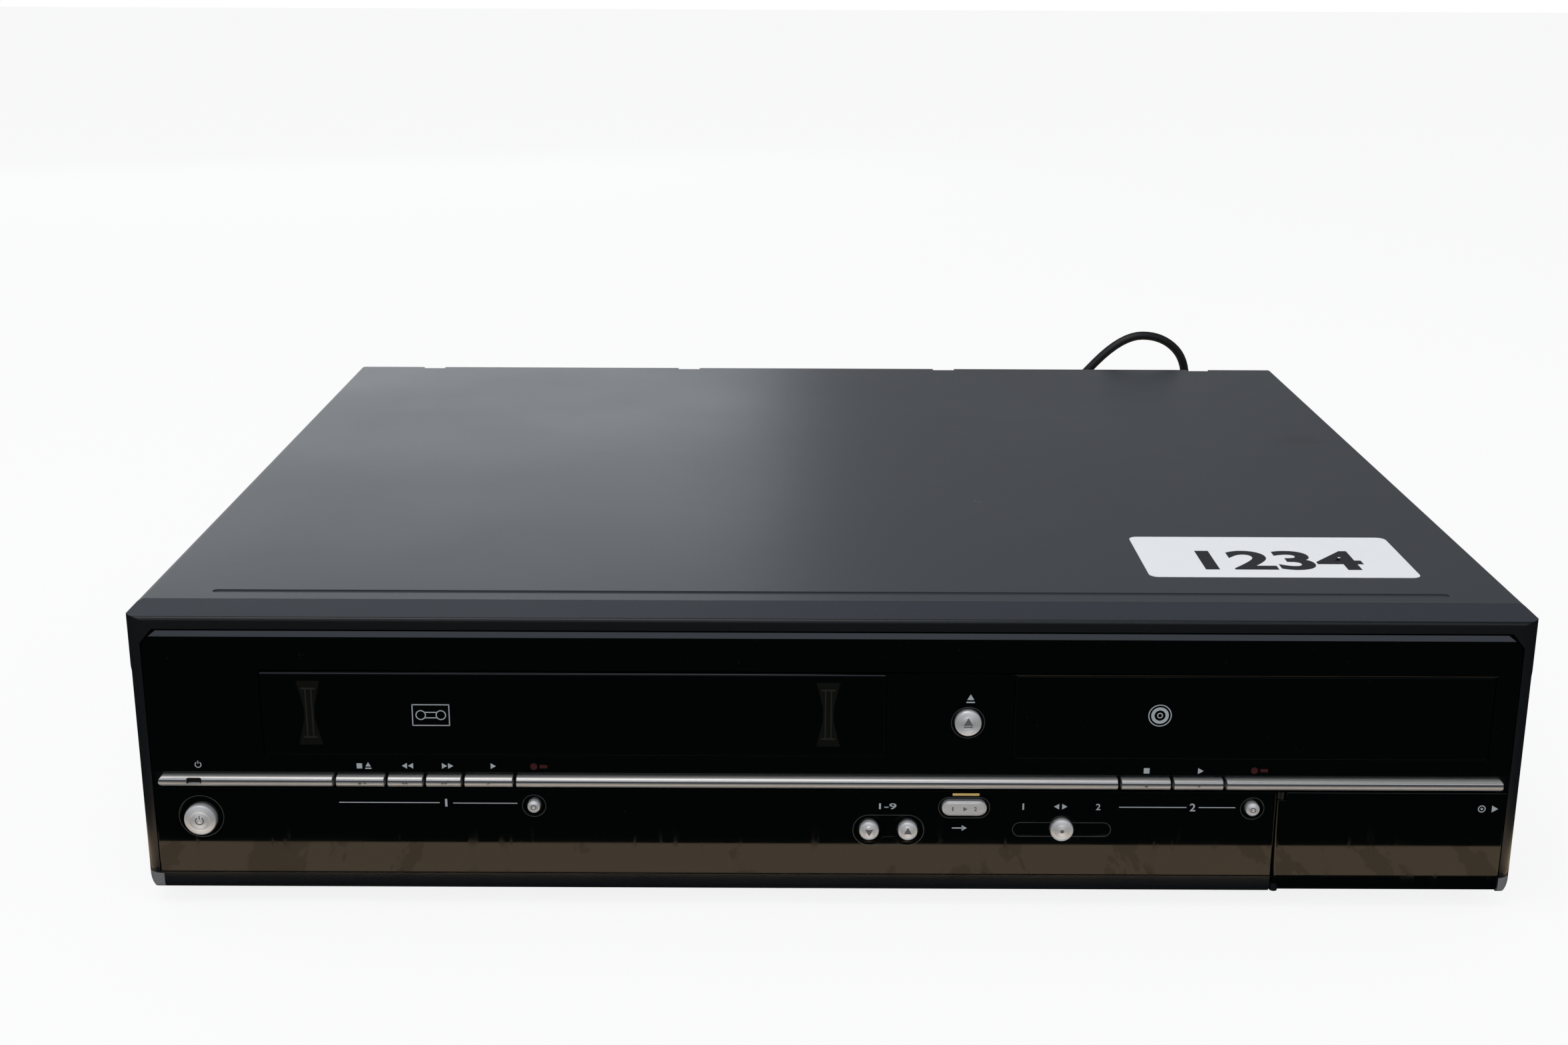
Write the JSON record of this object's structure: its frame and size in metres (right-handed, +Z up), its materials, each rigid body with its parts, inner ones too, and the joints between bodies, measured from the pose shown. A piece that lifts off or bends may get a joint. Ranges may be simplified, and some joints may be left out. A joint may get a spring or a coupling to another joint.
{
  "type": "disc and cassette combo player",
  "caption": "Low wide player with a cassette door, a disc tray, a silver key strip, round buttons, a front socket flap, rear sockets and a mains lead.",
  "frame": {"origin": "under the middle of the player, on the plane of its feet, measured without the mains lead", "axes": "+Z up, -Y out of the front, +X to the right of someone looking at the front"},
  "size_m": [0.4336, 0.4444, 0.1099],
  "materials": {
    "cover_paint": "satin grey paint",
    "pan_steel": "zinc-plated sheet",
    "rear_paint": "satin black paint",
    "black_moulding": "fine satin moulding",
    "gloss_black": "polished",
    "smoked": "smoked, polished",
    "silver": "silver paint",
    "board": "lacquered board",
    "tube": "dark glass",
    "socket_plastic": "moulded",
    "plated": "nickel plate",
    "deck_steel": "plated sheet",
    "drum_metal": "turned",
    "white_moulding": "moulded",
    "black_inner": "moulded",
    "rubber": "moulded",
    "lead": "smooth vinyl",
    "motor_steel": "plated"
  },
  "bodies": {
    "chassis": {"base_pan": "pan_steel", "rear_panel": "rear_paint", "top_cover": "cover_paint", "front_bezel": "black_moulding", "upper_window": "gloss_black", "lower_window": "gloss_black", "silver_trims": "silver", "front_board": "board", "display_tube": "tube", "front_sockets": "socket_plastic", "main_board": "board", "power_board": "board", "rear_av_sockets": "socket_plastic", "aerial_sockets": "plated", "digital_sockets": "plated", "deck_plate": "deck_steel", "carriage_frame": "deck_steel", "lower_drum": "drum_metal", "loading_motor": "motor_steel", "drive_frame": "black_inner", "loader_motor": "motor_steel", "clamp_bridge": "deck_steel", "feet": "rubber", "case_screws": "rear_paint", "cord_gland": "lead", "cord_tube": "lead", "cord_coil": "lead", "plug": "lead"},
    "cassette_door": {"cassette_door": "smoked"},
    "tray": {"disc_tray": "black_inner", "tray_front": "gloss_black"},
    "av_flap": {"av_flap": "gloss_black"},
    "cassette_holder": {"cassette_holder": "deck_steel"},
    "upper_drum": {"upper_drum": "drum_metal"},
    "capstan": {"capstan": "motor_steel"},
    "pinch_arm": {"pinch_arm": "deck_steel"},
    "pinch_roller": {"pinch_roller": "rubber"},
    "supply_reel": {"supply_reel_table": "white_moulding"},
    "takeup_reel": {"takeup_reel_table": "white_moulding"},
    "supply_guide": {"supply_guide": "drum_metal"},
    "takeup_guide": {"takeup_guide": "drum_metal"},
    "loader_gear": {"loader_gear": "white_moulding"},
    "traverse": {"traverse": "black_inner"},
    "turntable": {"turntable": "black_inner"},
    "pickup_sled": {"pickup_sled": "black_inner"},
    "clamp_puck": {"clamp_puck": "white_moulding"},
    "vcr_stop_key": {"vcr_stop_key": "silver"},
    "vcr_rewind_key": {"vcr_rewind_key": "silver"},
    "vcr_forward_key": {"vcr_forward_key": "silver"},
    "vcr_play_key": {"vcr_play_key": "silver"},
    "dvd_stop_key": {"dvd_stop_key": "silver"},
    "dvd_play_key": {"dvd_play_key": "silver"},
    "power_button": {"power_button": "silver"},
    "vcr_record_button": {"vcr_record_button": "silver"},
    "program_down_button": {"program_down_button": "silver"},
    "program_up_button": {"program_up_button": "silver"},
    "select_button": {"select_button": "silver"},
    "dvd_record_button": {"dvd_record_button": "silver"},
    "open_close_button": {"open_close_button": "silver"},
    "dubbing_button": {"dubbing_button": "silver"}
  },
  "joints": [
    {"name": "cassette_door_hinge", "type": "hinge", "parent": "chassis", "child": "cassette_door", "pos_m": [-0.07925, -0.17885, 0.07715], "axis": [1, 0, 0], "range_deg": [0, 85], "stiffness_Nm_per_rad": 0.002, "springref_deg": -28.65},
    {"name": "tray_slide", "type": "slide", "parent": "chassis", "child": "tray", "axis": [0, -1, 0], "range_m": [0, 0.14]},
    {"name": "av_flap_hinge", "type": "hinge", "parent": "chassis", "child": "av_flap", "pos_m": [0.14025, -0.17885, 0.022], "axis": [0, 0, -1], "range_deg": [0, 95]},
    {"name": "holder_drop", "type": "slide", "parent": "chassis", "child": "cassette_holder", "axis": [0, 0, -1], "range_m": [0, 0.02]},
    {"name": "drum_spin", "type": "hinge", "parent": "chassis", "child": "upper_drum", "pos_m": [-0.07925, -0.0021, 0.03015], "axis": [0, -0.1045, 0.9945], "continuous": true},
    {"name": "capstan_spin", "type": "hinge", "parent": "chassis", "child": "capstan", "pos_m": [-0.02125, -0.0341, 0.0262], "axis": [0, 0, 1], "continuous": true},
    {"name": "pinch_arm_swing", "type": "hinge", "parent": "chassis", "child": "pinch_arm", "pos_m": [0.00075, -0.0101, 0.0362], "axis": [0, 0, -1], "range_deg": [0, 20], "stiffness_Nm_per_rad": 0.003, "springref_deg": -11.46},
    {"name": "pinch_roller_spin", "type": "hinge", "parent": "pinch_arm", "child": "pinch_roller", "pos_m": [-0.00464, -0.03961, 0.0362], "axis": [0, 0, 1], "continuous": true},
    {"name": "supply_reel_spin", "type": "hinge", "parent": "chassis", "child": "supply_reel", "pos_m": [-0.12525, -0.0961, 0.0312], "axis": [0, 0, 1], "continuous": true},
    {"name": "takeup_reel_spin", "type": "hinge", "parent": "chassis", "child": "takeup_reel", "pos_m": [-0.03325, -0.0961, 0.0312], "axis": [0, 0, 1], "continuous": true},
    {"name": "supply_guide_slide", "type": "slide", "parent": "chassis", "child": "supply_guide", "axis": [0, 1, 0], "range_m": [0, 0.038]},
    {"name": "takeup_guide_slide", "type": "slide", "parent": "chassis", "child": "takeup_guide", "axis": [0, 1, 0], "range_m": [0, 0.038]},
    {"name": "loader_gear_spin", "type": "hinge", "parent": "chassis", "child": "loader_gear", "pos_m": [0.0757, -0.1481, 0.0575], "axis": [0, 0, -1], "range_deg": [0, 737]},
    {"name": "traverse_tilt", "type": "hinge", "parent": "chassis", "child": "traverse", "pos_m": [0.12975, -0.0041, 0.052], "axis": [-1, 0, 0], "range_deg": [0, 6]},
    {"name": "turntable_spin", "type": "hinge", "parent": "traverse", "child": "turntable", "pos_m": [0.12975, -0.10654, 0.04123], "axis": [0, -0.1045, 0.9945], "continuous": true},
    {"name": "sled_slide", "type": "slide", "parent": "traverse", "child": "pickup_sled", "axis": [0, 0.9945, 0.1045], "range_m": [0, 0.035]},
    {"name": "clamp_puck_spin", "type": "hinge", "parent": "chassis", "child": "clamp_puck", "pos_m": [0.12975, -0.1071, 0.077], "axis": [0, 0, 1], "continuous": true},
    {"name": "vcr_stop_key_press", "type": "slide", "parent": "chassis", "child": "vcr_stop_key", "axis": [0, 1, 0], "range_m": [0, 0.0008], "stiffness_N_per_m": 400, "springref_m": -0.0008},
    {"name": "vcr_rewind_key_press", "type": "slide", "parent": "chassis", "child": "vcr_rewind_key", "axis": [0, 1, 0], "range_m": [0, 0.0008], "stiffness_N_per_m": 400, "springref_m": -0.0008},
    {"name": "vcr_forward_key_press", "type": "slide", "parent": "chassis", "child": "vcr_forward_key", "axis": [0, 1, 0], "range_m": [0, 0.0008], "stiffness_N_per_m": 400, "springref_m": -0.0008},
    {"name": "vcr_play_key_press", "type": "slide", "parent": "chassis", "child": "vcr_play_key", "axis": [0, 1, 0], "range_m": [0, 0.0008], "stiffness_N_per_m": 400, "springref_m": -0.0008},
    {"name": "dvd_stop_key_press", "type": "slide", "parent": "chassis", "child": "dvd_stop_key", "axis": [0, 1, 0], "range_m": [0, 0.0008], "stiffness_N_per_m": 400, "springref_m": -0.0008},
    {"name": "dvd_play_key_press", "type": "slide", "parent": "chassis", "child": "dvd_play_key", "axis": [0, 1, 0], "range_m": [0, 0.0008], "stiffness_N_per_m": 400, "springref_m": -0.0008},
    {"name": "power_button_press", "type": "slide", "parent": "chassis", "child": "power_button", "axis": [0, 1, 0], "range_m": [0, 0.0008], "stiffness_N_per_m": 400, "springref_m": -0.0008},
    {"name": "vcr_record_button_press", "type": "slide", "parent": "chassis", "child": "vcr_record_button", "axis": [0, 1, 0], "range_m": [0, 0.0008], "stiffness_N_per_m": 400, "springref_m": -0.0008},
    {"name": "program_down_button_press", "type": "slide", "parent": "chassis", "child": "program_down_button", "axis": [0, 1, 0], "range_m": [0, 0.0008], "stiffness_N_per_m": 400, "springref_m": -0.0008},
    {"name": "program_up_button_press", "type": "slide", "parent": "chassis", "child": "program_up_button", "axis": [0, 1, 0], "range_m": [0, 0.0008], "stiffness_N_per_m": 400, "springref_m": -0.0008},
    {"name": "select_button_press", "type": "slide", "parent": "chassis", "child": "select_button", "axis": [0, 1, 0], "range_m": [0, 0.0008], "stiffness_N_per_m": 400, "springref_m": -0.0008},
    {"name": "dvd_record_button_press", "type": "slide", "parent": "chassis", "child": "dvd_record_button", "axis": [0, 1, 0], "range_m": [0, 0.0008], "stiffness_N_per_m": 400, "springref_m": -0.0008},
    {"name": "open_close_button_press", "type": "slide", "parent": "chassis", "child": "open_close_button", "axis": [0, 1, 0], "range_m": [0, 0.0008], "stiffness_N_per_m": 400, "springref_m": -0.0008},
    {"name": "dubbing_button_press", "type": "slide", "parent": "chassis", "child": "dubbing_button", "axis": [0, 1, 0], "range_m": [0, 0.0008], "stiffness_N_per_m": 400, "springref_m": -0.0008}
  ],
  "couplings": [
    {"joint": "takeup_guide_slide", "follows": "supply_guide_slide", "ratio": 1},
    {"joint": "loader_gear_spin", "follows": "tray_slide", "rad_per_m": 91.743}
  ]
}
